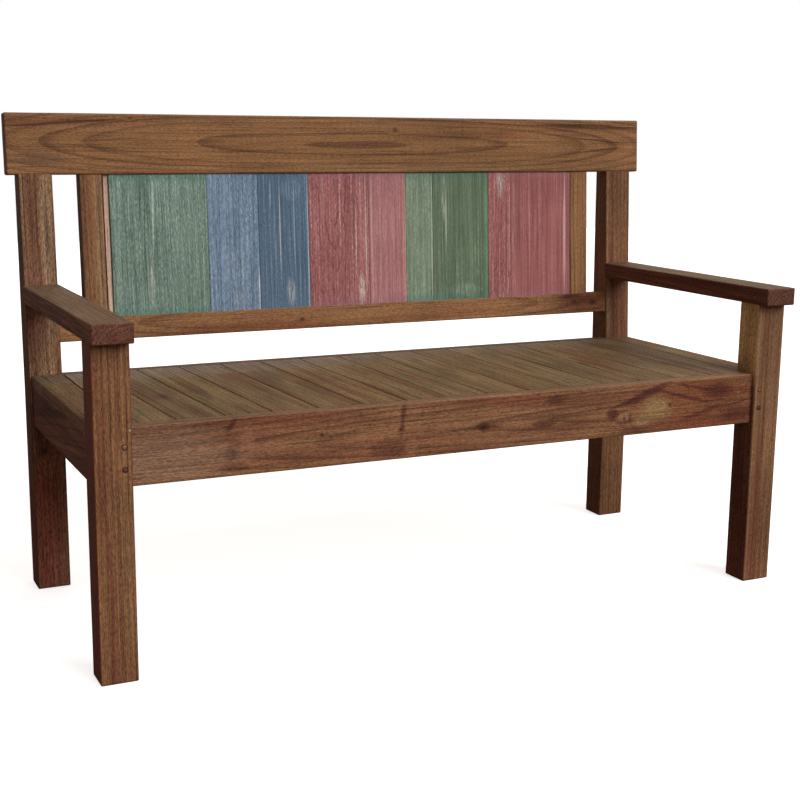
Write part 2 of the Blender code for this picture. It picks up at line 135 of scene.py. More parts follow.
def volume(points, quads):
    a, b, c, d = (points[quads[:, i]] for i in range(4))
    return sum(np.einsum("ij,ij->i", a, np.cross(*pair)).sum() for pair in ((b, c), (c, d)))


def add_piece(name, nodes, points, faces, layers, material, normals=None):
    """A smooth mesh that stands in for these nodes. layers are its attributes, a value a point."""
    mesh = bpy.data.meshes.new(name)
    mesh.from_pydata(points.tolist(), [], faces)
    mesh.polygons.foreach_set("use_smooth", np.ones(len(faces), bool))
    if normals is not None:
        mesh.normals_split_custom_set_from_vertices(normals.tolist())
    for label, values in layers.items():
        kind, key = ("FLOAT_VECTOR", "vector") if values.ndim == 2 else ("FLOAT", "value")
        layer = mesh.attributes.new(label, kind, "POINT")
        layer.data.foreach_set(key, values.astype(np.float32).ravel())
    mesh.update()
    piece = bpy.data.objects.new(name, mesh)
    bpy.context.scene.collection.objects.link(piece)
    piece.data.materials.append(material)
    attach(piece, "root")
    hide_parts(*nodes)


def make_board(name, nodes, size, place, radius, seed, material):
    """A timber of size (u, v, w). place turns points from its own axes, 0 to size, to metres."""
    size = np.array(size, float)
    steps = (STEP_ALONG, STEP_ACROSS, STEP_ACROSS)
    lines = [lattice_lines(size[axis], steps[axis], radius) for axis in range(3)]
    at, quads = lattice_surface(lines)
    random = np.random.RandomState(seed)

    core = np.clip(at, radius, size - radius)
    away = at - core
    reach = np.linalg.norm(away, axis=1)
    turn = np.sort(np.abs(away), axis=1)[:, 1] / radius
    lost = wavering(at, random, (0.30, 0.09, 0.09), WAVE)
    lost += wavering(at, random, (0.045, 0.03, 0.03), WEAR) * turn ** 1.5
    points = core + away / reach[:, None] * (radius - lost)[:, None]

    world = place(points)
    if volume(world, quads) < 0:
        quads = quads[:, ::-1]
    rim = np.sort(np.minimum(at, size - at), axis=1)[:, 1]
    tip = np.minimum(at[:, 0], size[0] - at[:, 0])
    board = points - size / 2
    grain = board + random.uniform(-40, 40, 3)
    layers = {"board": board, "grain": grain, "rim": rim, "tip": tip}
    normals = face_weighted_normals(world, quads)
    add_piece(name, nodes, world, quads.tolist(), layers, material, normals)


def axes(low, order):
    """A placing of (u, v, w) along the world axes named in order, starting at the corner low."""
    columns = ["xyz".index(letter) for letter in order]

    def place(points):
        world = np.empty_like(points)
        for own, column in enumerate(columns):
            world[:, column] = points[:, own] + low[column]
        return world

    return place


# ---------------------------------------------------------------- the leaning back
def steepest_face():
    """How far the painted boards lean back: the tilt of a board's largest front face."""
    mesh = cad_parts["back_board_green_1"].data
    face = max((f for f in mesh.polygons if f.normal.y < -0.5), key=lambda f: f.area)
    return math.atan2(face.normal.z, -face.normal.y)


LEAN = steepest_face()
SIN, COS = math.sin(LEAN), math.cos(LEAN)
POST_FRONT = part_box("rear_post_left")[0].y


def back_box(node):
    """A node's lowest and highest (x, depth, rise) in the plane of the back."""
    spots = np.array([v.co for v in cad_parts[node].data.vertices])
    y, z = spots[:, 1] - POST_FRONT, spots[:, 2] - CRANK_HEIGHT
    own = np.stack([spots[:, 0], y * COS - z * SIN, y * SIN + z * COS], -1)
    return own.min(0), own.max(0)


def on_back(x, depth, rise):
    y = POST_FRONT + rise * SIN + depth * COS
    z = CRANK_HEIGHT + rise * COS - depth * SIN
    return np.stack([x, y, z], -1)


def back_axes(low, order):
    """As axes(), in the plane of the back. The letters are x, d for depth and r for rise."""
    columns = ["xdr".index(letter) for letter in order]

    def place(points):
        own = np.empty_like(points)
        for index, column in enumerate(columns):
            own[:, column] = points[:, index] + low[column]
        return on_back(own[:, 0], own[:, 1], own[:, 2])

    return place


# ---------------------------------------------------------------- shader building
class Shader:
    """Short names for the nodes of one material."""

    def __init__(self, name):
        self.material = bpy.data.materials.new(name)
        self.material.use_nodes = True
        self.tree = self.material.node_tree
        self.surface = self.tree.nodes["Principled BSDF"]

    def node(self, kind, inputs=(), output=0, **settings):
        made = self.tree.nodes.new(kind)
        for key, value in settings.items():
            setattr(made, key, value)
        for index, value in dict(inputs).items():
            self.put(made.inputs[index], value)
        return made.outputs[output]

    def put(self, socket, value):
        if isinstance(value, bpy.types.NodeSocket):
            self.tree.links.new(value, socket)
        elif value is not None:
            socket.default_value = value

    def math(self, operation, a, b=None):
        values = {i: v for i, v in enumerate((a, b)) if v is not None}
        return self.node("ShaderNodeMath", values, operation=operation)

    def add(self, a, b):
        return self.math("ADD", a, b)

    def sub(self, a, b):
        return self.math("SUBTRACT", a, b)

    def times(self, a, b):
        return self.math("MULTIPLY", a, b)

    def length(self, a, b):
        """The length of the vector (a, b)."""
        return self.math("SQRT", self.add(self.times(a, a), self.times(b, b)))

    def swing(self, noise, reach):
        """A noise moved to either side of zero."""
        return self.times(self.sub(noise, 0.5), reach)

    def smooth(self, value, start, end, low=0.0, high=1.0):
        inputs = {0: value, 1: start, 2: end, 3: low, 4: high}
        return self.node("ShaderNodeMapRange", inputs, interpolation_type="SMOOTHSTEP")

    def attribute(self, name, output=1):
        return self.node("ShaderNodeAttribute", output=output, attribute_name=name)

    def stretched(self, vector, per_metre):
        inputs = {0: vector, 1: per_metre}
        return self.node("ShaderNodeVectorMath", inputs, operation="MULTIPLY")

    def noise(self, vector, detail=2.0, roughness=0.5, distortion=0.0):
        inputs = {"Vector": vector, "Scale": 1.0, "Detail": detail, "Roughness": roughness,
                  "Distortion": distortion}
        return self.node("ShaderNodeTexNoise", inputs)

    def by_year(self, years):
        """A value of its own for each year ring."""
        inputs = {1: self.math("FLOOR", years)}
        return self.node("ShaderNodeTexWhiteNoise", inputs, 0, noise_dimensions="1D")

    def mix(self, factor, a, b, blend="MIX"):
        inputs = {0: factor, 6: a, 7: b}
        return self.node("ShaderNodeMix", inputs, 2, data_type="RGBA", blend_type=blend)

    def split(self, vector):
        made = self.tree.nodes.new("ShaderNodeSeparateXYZ")
        self.put(made.inputs[0], vector)
        return made.outputs[0], made.outputs[1], made.outputs[2]

    def grey(self, value):
        """A value as a colour."""
        made = self.tree.nodes.new("ShaderNodeCombineColor")
        for socket in made.inputs[:3]:
            self.put(socket, value)
        return made.outputs[0]

    def bump(self, height, distance, strength=1.0):
        made = self.tree.nodes.new("ShaderNodeBump")
        made.inputs["Strength"].default_value = strength
        made.inputs["Distance"].default_value = distance
        self.put(made.inputs["Height"], height)
        return made.outputs[0]

    def spot(self, u, v, centre, radii, soft=0.55, wobble=None, slope=0.0):
        """1 inside an oval round centre and 0 outside it, with an edge that wobbles."""
        du = self.sub(u, centre[0])
        dv = self.sub(v, centre[1])
        if slope:
            dv = self.sub(dv, self.times(du, slope))
        du = self.times(du, 1 / radii[0])
        dv = self.times(dv, 1 / radii[1])
        away = self.length(du, dv)
        if wobble is not None:
            away = self.add(away, wobble)
        return self.smooth(away, 1.0 + soft, 1.0 - soft)


def colour(values):
    return (*values, 1.0)


def darker(values, factor):
    return tuple(v * factor for v in values)


def wood(name, light, red, dark, ring=0.0075, pith=(0.03, -0.05), tilt=(0.0, 0.0), warp=0.010,
         bow=0.0, contrast=0.6, thread=0.5, red_share=0.5, knots=(), patches=(), holes=(),
         band=None, skylight_grey=None, side_shade=None, rough=0.58, blotch=0.18, crisp=0.44, streak=0.28,
         rub=0.22, soak=0.62):
    """Sawn hardwood. light, red and dark are linear colours of its pale, ruddy and late wood.

    ring is the width of a year, pith where the heart of the tree lies across the board, tilt how it
    drifts per metre and bow how it curves. A knot is (u, v, size). A patch is (u, v, radius_u,
    radius_v, colour, strength, slope). A hole is (u, v, radius, colour of its plug). A band is
    (start u, colour, strength). weather is the (colour, strength) of painted sky light, a greyer
    tone on the faces that look up, and flank that of painted shade, a darker and redder tone on
    the faces that look left or right. soak is how dark the end grain has gone.
    """
    s = Shader(name)
    board = s.attribute("board")
    grain = s.attribute("grain")
    rim = s.attribute("rim", 2)
    u, v, w = s.split(board)

    # Four noises, finer and finer. Their scales are per metre along u, v and w.
    slow = s.noise(s.stretched(grain, (1.3, 9, 9)), 2.0, 0.45)
    drift = s.noise(s.stretched(grain, (3.1, 26, 26)), 3.0, 0.55)
    fine = s.noise(s.stretched(grain, (4.5, 300, 300)), 4.0, 0.72)
    short = s.noise(s.stretched(grain, (130, 640, 640)), 3.0, 0.80)

    # Rings bend round each knot.
    across = v
    cores = []
    for ku, kv, size in knots:
        du = s.times(s.sub(u, ku), 1 / (3.6 * size))
        dv = s.times(s.sub(v, kv), 1 / (2.6 * size))
        away = s.length(du, dv)
        pull = s.smooth(away, 1.6, 0.0, 0.0, 0.85)
        across = s.sub(across, s.times(s.sub(across, kv), pull))
        cu = s.times(s.sub(u, ku), 1 / (1.15 * size))
        cv = s.times(s.sub(v, kv), 1 / (0.85 * size))
        core = s.length(cu, cv)
        cores.append(s.add(core, s.add(s.swing(drift, 2.2), s.swing(fine, 1.4))))

    warped = s.swing(slow, 4.5 * warp)
    small = s.swing(drift, 1.1 * warp)
    rv = s.add(s.sub(s.add(across, s.times(u, tilt[0])), pith[0]), s.add(warped, small))
    rw = s.add(s.sub(s.add(w, s.times(u, tilt[1])), pith[1]), s.swing(slow, 2 * warp))
    if bow:
        rw = s.add(rw, s.times(s.times(u, u), bow))
    radius = s.length(rv, rw)
    years = s.times(radius, 1 / ring)
    part = s.math("FRACT", years)
    late = s.times(s.smooth(part, 0.45, 0.94), s.smooth(part, 1.0, 0.955))
    strength = s.by_year(years)
    late = s.times(late, s.add(0.15, s.times(strength, 1.0)))

    # Body colour between the pale and the ruddy wood, then the late wood and dark threads.
    tone = s.add(s.times(s.noise(s.stretched(grain, (1.9, 34, 34)), 3.0, 0.6), 0.7),
                 s.times(fine, 0.45))
    share = s.smooth(tone, 0.74 - 0.36 * red_share, 0.88 - 0.36 * red_share)
    body = s.mix(share, colour(light), colour(red))
    body = s.mix(s.times(late, contrast), body, colour(dark))
    threads = s.smooth(fine, 0.42, 0.30)
    body = s.mix(s.times(threads, thread), body, colour(dark))
    pores = s.smooth(s.add(s.times(short, 0.6), s.times(fine, 0.4)), 0.44, 0.38)
    body = s.mix(s.times(pores, s.smooth(drift, 0.35, 0.65, 0.06, 0.42)), body, colour(dark))

    for pu, pv, ru, rv_, tint, power, *slope in patches:
        wobble = s.add(s.swing(drift, 2.2), s.swing(fine, 1.6))
        mask = s.spot(u, v, (pu, pv), (ru, rv_), 0.5, wobble, *slope)
        body = s.mix(s.times(mask, power), body, colour(tint))
    if band:
        mask = s.smooth(s.add(u, s.swing(drift, 0.012)), band[0] - 0.004, band[0] + 0.004)
        body = s.mix(s.times(mask, band[2]), body, colour(band[1]))
    for core in cores:
        body = s.mix(s.smooth(core, 2.6, 0.8, 0.0, 0.45), body, colour(dark))
        body = s.mix(s.smooth(core, 1.0, 0.3, 0.0, 0.8), body, colour(darker(dark, 0.7)))

    sideways, _, up = s.split(s.node("ShaderNodeNewGeometry", output=1))
    # Painted shade: the faces that look left or right take the darker, redder flank colour.
    if side_shade:
        side_shade_mask = s.smooth(s.math("ABSOLUTE", sideways), 0.35, 0.75, 0.0, side_shade[1])
        body = s.mix(s.times(side_shade_mask, s.smooth(tone, 0.80, 0.45, 0.70, 1.0)), body, colour(side_shade[0]))
    # Painted sky light: the faces that look up take a greyer tone.
    if skylight_grey:
        grey = s.mix(s.smooth(s.add(fine, s.times(drift, 0.4)), 0.5, 0.9), colour(skylight_grey[0]),
                     colour(darker(skylight_grey[0], 0.72)))
        body = s.mix(s.smooth(up, 0.5, 0.85, 0.0, skylight_grey[1]), body, grey)
    tip = s.attribute("tip", 2)
    soaked = s.smooth(s.add(tip, s.swing(fine, 0.004)), 0.0035, 0.0008)
    body = s.mix(s.times(soaked, soak), body, colour((0.075, 0.032, 0.026)))

    shade = s.noise(s.stretched(grain, (5, 6, 6)), 3.0, 0.6)
    gain = s.times(s.smooth(shade, 0.25, 0.75, 1 - blotch, 1 + blotch),
                   s.smooth(fine, 0.32, 0.68, 1 - streak, 1 + streak))
    gain = s.times(gain, s.smooth(short, 0.32, 0.68, 1 - crisp, 1 + crisp))
    body = s.mix(1.0, body, s.grey(gain), "MULTIPLY")
    rubbed = s.smooth(s.add(rim, s.swing(fine, 0.004)), 0.0024, 0.0002)
    body = s.mix(s.times(rubbed, rub), body, colour(tuple(1.15 * c for c in light)))

    for hu, hv, size, plug in holes:
        du, dv = s.sub(u, hu), s.sub(v, hv)
        away = s.times(s.length(du, dv), 1 / size)
        body = s.mix(s.smooth(away, 1.30, 1.15), body, colour(darker(dark, 0.5)))
        body = s.mix(s.smooth(away, 1.02, 0.92), body, colour(plug))
    s.put(s.surface.inputs["Base Color"], body)

    s.put(s.surface.inputs["Roughness"], s.smooth(fine, 0.3, 0.7, rough + 0.10, rough - 0.10))
    s.surface.inputs["Specular IOR Level"].default_value = 0.22
    height = s.add(s.times(fine, 0.6), s.add(s.times(short, 0.35), s.times(late, 0.3)))
    s.put(s.surface.inputs["Normal"], s.bump(height, 0.0008, 0.7))
    return s.material


def paint(name, base, pale, deep, band=None, chalk=0.5, combed=0.6, cathedral=0.3,
          pith=(0.0, -0.03), tilt=(0.0, 0.06), knots=(), patches=(), ring=0.007, rough=0.62,
          crisp=0.42):
    """Thin matt paint over sawn wood, worn along the grain.

    base, pale and deep are the paint and its worn and its shaded tones. band is the tone along a
    board's ends.
    """
    s = Shader(name)
    board = s.attribute("board")
    grain = s.attribute("grain")
    rim = s.attribute("rim", 2)
    u, v, w = s.split(board)

    # Noise scales are per metre along u, v and w.
    slow = s.noise(s.stretched(grain, (2.6, 17, 17)), 3.0, 0.5)
    comb = s.noise(s.stretched(grain, (3.5, 230, 230)), 5.0, 0.66)
    hair = s.noise(s.stretched(grain, (130, 560, 560)), 3.0, 0.80)
    cloud = s.noise(s.stretched(grain, (8, 12, 12)), 4.0, 0.6)

    across = v
    cores = []
    for ku, kv, size in knots:
        du = s.times(s.sub(u, ku), 1 / (3.0 * size))
        dv = s.times(s.sub(v, kv), 1 / (2.2 * size))
        away = s.length(du, dv)
        across = s.sub(across, s.times(s.sub(across, kv), s.smooth(away, 1.6, 0.0, 0.0, 0.85)))
        cores.append(s.add(away, s.swing(comb, 0.8)))

    rv = s.add(s.sub(s.add(across, s.times(u, tilt[0])), pith[0]), s.swing(slow, 0.03))
    rw = s.add(s.sub(w, pith[1]), s.times(u, tilt[1]))
    years = s.times(s.length(rv, rw), 1 / ring)
    part = s.math("FRACT", years)
    late = s.times(s.smooth(part, 0.45, 0.93), s.smooth(part, 1.0, 0.95))
    strength = s.by_year(years)
    late = s.times(late, strength)

    half = tuple((a + b) / 2 for a, b in zip(base, deep))
    body = s.mix(s.smooth(cloud, 0.3, 0.7), colour(base), colour(half))
    body = s.mix(s.smooth(comb, 0.48, 0.32, 0.0, combed), body, colour(deep))
    body = s.mix(s.smooth(comb, 0.54, 0.72, 0.0, combed), body, colour(pale))
    body = s.mix(s.times(late, cathedral), body, colour(darker(deep, 0.8)))
    scratch = s.noise(s.stretched(grain, (26, 330, 330)), 3.0, 0.75, 0.6)
    for pu, pv, ru, rv_, tint, power, *slope in patches:
        mask = s.spot(u, v, (pu, pv), (ru, rv_), 0.5, s.swing(slow, 1.6), *slope)
        flakes = s.smooth(scratch, 0.46, 0.60, 0.12, 1.0) if rv_ > THIN_LINE else 0.9
        body = s.mix(s.times(s.times(mask, power), flakes), body, colour(tint))
    worn_through = s.times(s.smooth(s.add(s.times(hair, 0.55), s.times(comb, 0.45)), 0.545, 0.63),
                           s.smooth(slow, 0.42, 0.60))
    body = s.mix(s.times(worn_through, chalk), body, colour(tuple(0.25 + 0.6 * c for c in pale)))
    for core in cores:
        body = s.mix(s.smooth(core, 0.6, 0.2, 0.0, 0.5), body, colour(darker(deep, 0.7)))
    if band:
        ends = s.smooth(s.add(s.math("ABSOLUTE", u), s.swing(comb, 0.02)), 0.122, 0.148)
        body = s.mix(s.times(ends, 0.55), body, colour(band))
    gain = s.times(s.smooth(hair, 0.32, 0.68, 1 - crisp, 1 + crisp),
                   s.smooth(comb, 0.3, 0.7, 0.82, 1.18))
    body = s.mix(1.0, body, s.grey(gain), "MULTIPLY")
    s.put(s.surface.inputs["Base Color"], body)
    s.put(s.surface.inputs["Roughness"], s.smooth(comb, 0.3, 0.7, rough + 0.1, rough - 0.08))
    s.surface.inputs["Specular IOR Level"].default_value = 0.22
    height = s.add(s.times(comb, 0.6), s.add(s.times(hair, 0.5), s.times(late, 0.25)))
    s.put(s.surface.inputs["Normal"], s.bump(height, 0.0014, 0.8))
    return s.material


# ---------------------------------------------------------------- woods
LIGHT = (0.290, 0.138, 0.051)
RED = (0.200, 0.066, 0.026)
DARK = (0.058, 0.015, 0.009)
MAROON = (0.062, 0.013, 0.012)
OLIVE = (0.31, 0.19, 0.080)
PINK = (0.33, 0.15, 0.085)
PLUG = (0.55, 0.47, 0.38)

TOP_PATCHES = (
    (-0.62, 0.043, 0.13, 0.0028, DARK, 0.75, 0.072),
    (-0.56, -0.008, 0.08, 0.0016, DARK, 0.45, -0.10),
    (-0.55, 0.008, 0.06, 0.0014, DARK, 0.40, 0.06),
    (0.60, 0.045, 0.16, 0.0050, DARK, 0.60, -0.03),
    (0.62, -0.012, 0.07, 0.0018, DARK, 0.65, 0.10),
    (0.60, 0.016, 0.08, 0.0018, DARK, 0.55, -0.09),
    (-0.69, -0.030, 0.07, 0.015, (0.16, 0.085, 0.055), 0.5),
    (0.0, -0.050, 0.60, 0.006, OLIVE, 0.35)
)
top_wood = wood("top_rail_wood", LIGHT, RED, DARK, ring=0.0085, pith=(0.002, -0.038),
                tilt=(0.006, 0.0), bow=0.075, warp=0.0045, contrast=0.52, thread=0.45,
                red_share=0.40, knots=((0.099, 0.033, 0.004), (-0.498, 0.052, 0.003)),
                patches=TOP_PATCHES)
FRONT_PATCHES = (
    (-0.590, 0.000, 0.115, 0.070, (0.330, 0.195, 0.120), 0.60),
    (-0.480, 0.044, 0.016, 0.010, MAROON, 0.75, 0.9),
    (-0.484, -0.012, 0.010, 0.012, MAROON, 0.35),
    (-0.478, -0.038, 0.026, 0.009, MAROON, 0.45),
    (-0.452, 0.008, 0.014, 0.034, PINK, 0.55),
    (-0.151, 0.026, 0.006, 0.022, MAROON, 0.70, 1.5),
    (-0.170, -0.030, 0.035, 0.014, MAROON, 0.40),
    (-0.134, -0.036, 0.010, 0.014, PINK, 0.55),
    (0.020, -0.007, 0.022, 0.0035, MAROON, 0.45),
    (0.153, -0.011, 0.018, 0.0055, MAROON, 0.60),
    (0.180, 0.036, 0.022, 0.011, MAROON, 0.60),
    (0.560, 0.000, 0.150, 0.060, (0.205, 0.056, 0.020), 0.45),
    (0.314, -0.005, 0.015, 0.010, MAROON, 0.85),
    (0.340, -0.014, 0.012, 0.009, (0.34, 0.18, 0.085), 0.70),
    (0.338, -0.002, 0.014, 0.0025, MAROON, 0.65),
    (0.344, -0.025, 0.018, 0.0030, MAROON, 0.65),
    (0.355, -0.013, 0.0030, 0.009, MAROON, 0.55),
    (0.341, -0.015, 0.0030, 0.0040, MAROON, 0.55),
    (0.350, 0.018, 0.040, 0.003, MAROON, 0.60, 0.30),
    (0.395, 0.030, 0.045, 0.008, MAROON, 0.75, 0.35),
    (0.420, -0.002, 0.034, 0.020, OLIVE, 0.85),
    (0.386, -0.028, 0.018, 0.010, OLIVE, 0.60),
    (0.365, -0.042, 0.050, 0.007, MAROON, 0.65),
    (0.500, 0.014, 0.055, 0.004, MAROON, 0.70, -0.25),
    (0.520, 0.034, 0.050, 0.003, MAROON, 0.60, -0.20),
    (0.545, -0.016, 0.060, 0.005, MAROON, 0.60, 0.25),
    (0.575, 0.022, 0.038, 0.018, MAROON, 0.75),
    (0.620, -0.006, 0.040, 0.003, MAROON, 0.65, 0.15),
    (0.620, -0.030, 0.035, 0.012, MAROON, 0.50)
)
front_wood = wood("front_rail_wood", (0.280, 0.132, 0.062), (0.198, 0.068, 0.034), DARK,
                  ring=0.0078, pith=(-0.006, -0.045), tilt=(0.0, -0.045), warp=0.0055,
                  contrast=0.52, thread=0.44, red_share=0.52, crisp=0.48, streak=0.36,
                  # weather: painted sky light, greying the rail's top face
                  skylight_grey=((0.300, 0.185, 0.100), 0.75),
                  knots=((-0.313, 0.008, 0.003), (0.020, -0.007, 0.005), (0.452, 0.003, 0.004),
                         (-0.155, 0.004, 0.004)),
                  patches=FRONT_PATCHES,
                  holes=((0.626, 0.016, 0.0014, PLUG),))
LEG_LEFT_PATCHES = (
    (0.0, -0.029, 0.30, 0.0026, (0.34, 0.165, 0.07), 0.65),
    (-0.16, -0.009, 0.13, 0.0035, (0.15, 0.035, 0.028), 0.70),
    (-0.19, 0.004, 0.10, 0.0025, (0.15, 0.040, 0.030), 0.50),
    (0.02, -0.016, 0.10, 0.0030, (0.17, 0.050, 0.030), 0.45),
    (-0.10, 0.018, 0.16, 0.009, (0.29, 0.16, 0.070), 0.45),
    (0.20, 0.011, 0.08, 0.0025, (0.13, 0.050, 0.026), 0.65)
)
leg_left_wood = wood("front_leg_left_wood", (0.258, 0.120, 0.054), (0.186, 0.068, 0.031), DARK,
                     ring=0.006, pith=(-0.05, 0.045), tilt=(0.02, 0.01), warp=0.004,
                     contrast=0.45, thread=0.55, red_share=0.45, crisp=0.50,
                     # flank: painted shade on the leg's side faces
                     side_shade=((0.165, 0.036, 0.024), 0.85),
                     patches=LEG_LEFT_PATCHES,
                     holes=((0.1185, 0.020, 0.0044, DARK), (0.0795, 0.020, 0.0044, DARK),
                            (0.147, 0.0295, 0.0020, PLUG)))
LEG_RIGHT_PATCHES_AND_LIGHT = (
    (0.0, -0.029, 0.30, 0.0030, (0.32, 0.18, 0.09), 0.55),
    # The next two patches lie on the leg's left face: painted shade below the seat, and a painted
    # pool of light above it.
    (-0.16, -0.0345, 0.28, 0.0022, (0.18, 0.040, 0.030), 0.80),
    (0.23, -0.0345, 0.085, 0.0022, (0.66, 0.42, 0.185), 0.92),
    (-0.14, -0.012, 0.12, 0.0040, (0.17, 0.045, 0.030), 0.55),
    (0.10, 0.010, 0.16, 0.0080, (0.27, 0.15, 0.075), 0.40)
)
leg_right_wood = wood("front_leg_right_wood", (0.248, 0.125, 0.059), (0.180, 0.069, 0.034), DARK,
                      ring=0.0065, pith=(0.05, 0.05), tilt=(-0.015, 0.01), warp=0.004,
                      contrast=0.45, thread=0.50, red_share=0.45, crisp=0.50,
                      patches=LEG_RIGHT_PATCHES_AND_LIGHT,
                      holes=((0.1185, -0.020, 0.0044, DARK), (0.0795, -0.020, 0.0044, DARK)))
POST_LEFT_PATCHES = (
    (0.32, 0.014, 0.16, 0.006, (0.34, 0.23, 0.15), 0.55),
    (0.17, -0.012, 0.09, 0.016, (0.20, 0.080, 0.055), 0.55),
    (-0.06, 0.0, 0.055, 0.045, (0.085, 0.020, 0.018), 0.75),
    (-0.125, 0.018, 0.030, 0.012, (0.34, 0.13, 0.07), 0.60),
    (-0.150, -0.014, 0.012, 0.014, (0.38, 0.16, 0.08), 0.50),
    (-0.28, -0.004, 0.15, 0.040, (0.36, 0.092, 0.066), 0.68),
    (-0.30, 0.024, 0.13, 0.008, (0.30, 0.150, 0.060), 0.55)
)
post_left_wood = wood("rear_post_left_wood", (0.255, 0.144, 0.072), (0.158, 0.062, 0.030), DARK,
                      ring=0.0065, pith=(0.05, 0.05), tilt=(0.012, 0.0), warp=0.006,
                      contrast=0.65, thread=0.75, red_share=0.5, crisp=0.66, streak=0.50,
                      # flank: painted shade on the post's side faces
                      side_shade=((0.092, 0.019, 0.014), 0.85),
                      patches=POST_LEFT_PATCHES,
                      knots=((-0.135, -0.009, 0.010),))
post_right_wood = wood("rear_post_right_wood", (0.225, 0.106, 0.046), (0.140, 0.048, 0.023), DARK,
                       ring=0.0065, pith=(-0.05, 0.05), tilt=(0.012, 0.0), warp=0.006,
                       contrast=0.55, thread=0.5, red_share=0.5,
                       # flank: painted shade, a redder cast on the post's side faces
                       side_shade=((0.232, 0.084, 0.036), 0.75), crisp=0.50,
                       patches=((0.30, -0.0300, 0.20, 0.0030, (0.30, 0.18, 0.085), 0.6),
                                # Painted shadow of the arm on the post's front face, then a painted
                                # strip of light along its left edge, where that shadow ends.
                                (0.10, 0.006, 0.085, 0.022, (0.17, 0.055, 0.032), 0.45),
                                (0.10, -0.026, 0.090, 0.005, (0.27, 0.175, 0.09), 0.7)))
arm_wood = wood("armrest_wood", (0.188, 0.074, 0.042), (0.128, 0.036, 0.025),
                (0.050, 0.013, 0.011), ring=0.008, pith=(0.02, -0.04), tilt=(0.03, 0.0),
                warp=0.006, contrast=0.55, thread=0.5, red_share=0.5,
                # weather: painted sky light, greying the arm's top face
                skylight_grey=((0.220, 0.142, 0.078), 0.80), crisp=0.56, streak=0.42,
                soak=0.22, holes=((-0.300, 0.014, 0.0013, PLUG),))
side_wood = wood("side_rail_wood", (0.190, 0.064, 0.036), (0.125, 0.032, 0.020),
                 (0.036, 0.010, 0.008), ring=0.009, pith=(0.03, -0.04), tilt=(0.16, 0.0),
                 warp=0.012, contrast=0.65, thread=0.55,
                 # The first patch is painted shadow: dark at the top of the rail's rear end, beside
                 # the post.
                 patches=((0.15, 0.015, 0.12, 0.028, (0.075, 0.018, 0.015), 0.65),
                          (-0.05, -0.020, 0.16, 0.004, (0.30, 0.14, 0.06), 0.55, -0.12)))
plain_wood = wood("hidden_rail_wood", (0.120, 0.062, 0.034), (0.085, 0.036, 0.022), DARK,
                  ring=0.008, warp=0.006)
LOWER_PATCHES = (
    (0.585, 0.004, 0.055, 0.022, (0.17, 0.045, 0.028), 0.65),
    (0.560, 0.018, 0.030, 0.006, MAROON, 0.6, 0.2),
    (0.600, -0.008, 0.010, 0.006, (0.34, 0.09, 0.045), 0.7),
    (0.572, 0.004, 0.008, 0.004, MAROON, 0.7),
    (0.640, 0.012, 0.020, 0.010, (0.30, 0.13, 0.05), 0.6)
)
lower_wood = wood("lower_rail_wood", (0.305, 0.148, 0.060), (0.202, 0.075, 0.031), DARK,
                  ring=0.0065, pith=(0.01, -0.04), tilt=(0.0, 0.0), bow=0.05, warp=0.004,
                  contrast=0.50, thread=0.45, red_share=0.45,
                  knots=((-0.133, -0.004, 0.004), (0.625, 0.0, 0.006)),
                  patches=LOWER_PATCHES)
stile_left_wood = wood("stile_left_wood", (0.305, 0.178, 0.086), (0.210, 0.094, 0.038), DARK,
                       ring=0.008, pith=(0.04, -0.03), tilt=(0.02, 0.0), warp=0.004,
                       # flank: painted shade, near black, on the stile's side faces
                       contrast=0.45, thread=0.45, side_shade=((0.045, 0.014, 0.010), 0.9),
                       patches=((0.0, -0.020, 0.16, 0.004, (0.15, 0.06, 0.03), 0.6),
                                (0.05, 0.016, 0.12, 0.003, (0.14, 0.07, 0.035), 0.5)))
stile_right_wood = wood("stile_right_wood", (0.295, 0.146, 0.062), (0.200, 0.079, 0.031), DARK,
                        ring=0.008, pith=(-0.04, -0.03), tilt=(0.02, 0.0), warp=0.004,
                        contrast=0.40, thread=0.40, red_share=0.35,
                        patches=((0.0, 0.018, 0.16, 0.004, (0.26, 0.10, 0.035), 0.6),))
strip_wood = wood("filler_strip_wood", (0.72, 0.50, 0.375), (0.60, 0.385, 0.29),
                  (0.26, 0.15, 0.10), ring=0.004, contrast=0.3, thread=0.3, rub=0.0, crisp=0.2,
                  # flank: painted shade, almost black, on the strip's side faces in the gaps beside
                  # it
                  side_shade=((0.012, 0.006, 0.005), 1.0))

SLAT_LIGHT = (0.253, 0.170, 0.077)
SLAT_RED = (0.190, 0.092, 0.044)
SLAT_DARK = (0.066, 0.034, 0.018)
SLAT_GREY = (0.205, 0.152, 0.106)
SLAT_PATCHES = ((0.150, 0.070, 0.034), (0.225, 0.110, 0.048), (0.215, 0.170, 0.088),
                (0.130, 0.085, 0.044))


def slat_wood(name, light, red, seed, grey, knots=()):
    random = np.random.RandomState(seed)
    side = random.choice((-1, 1))
    patches = [(random.uniform(-0.24, 0.24), random.uniform(-0.035, 0.035),
                random.uniform(0.05, 0.13), random.uniform(0.008, 0.024),
                SLAT_PATCHES[random.randint(len(SLAT_PATCHES))], random.uniform(0.30, 0.60))
               for _ in range(4)]
    return wood(name, light, red, SLAT_DARK, ring=0.0085,
                pith=(side * random.uniform(0.0, 0.05), -random.uniform(0.02, 0.05)),
                tilt=(side * random.uniform(0.0, 0.05), random.uniform(-0.05, 0.05)), warp=0.007,
                contrast=0.42, thread=0.42, red_share=random.uniform(0.35, 0.65), knots=knots,
                patches=patches, band=(0.143, SLAT_GREY, grey), rough=0.62, crisp=0.56, streak=0.36)


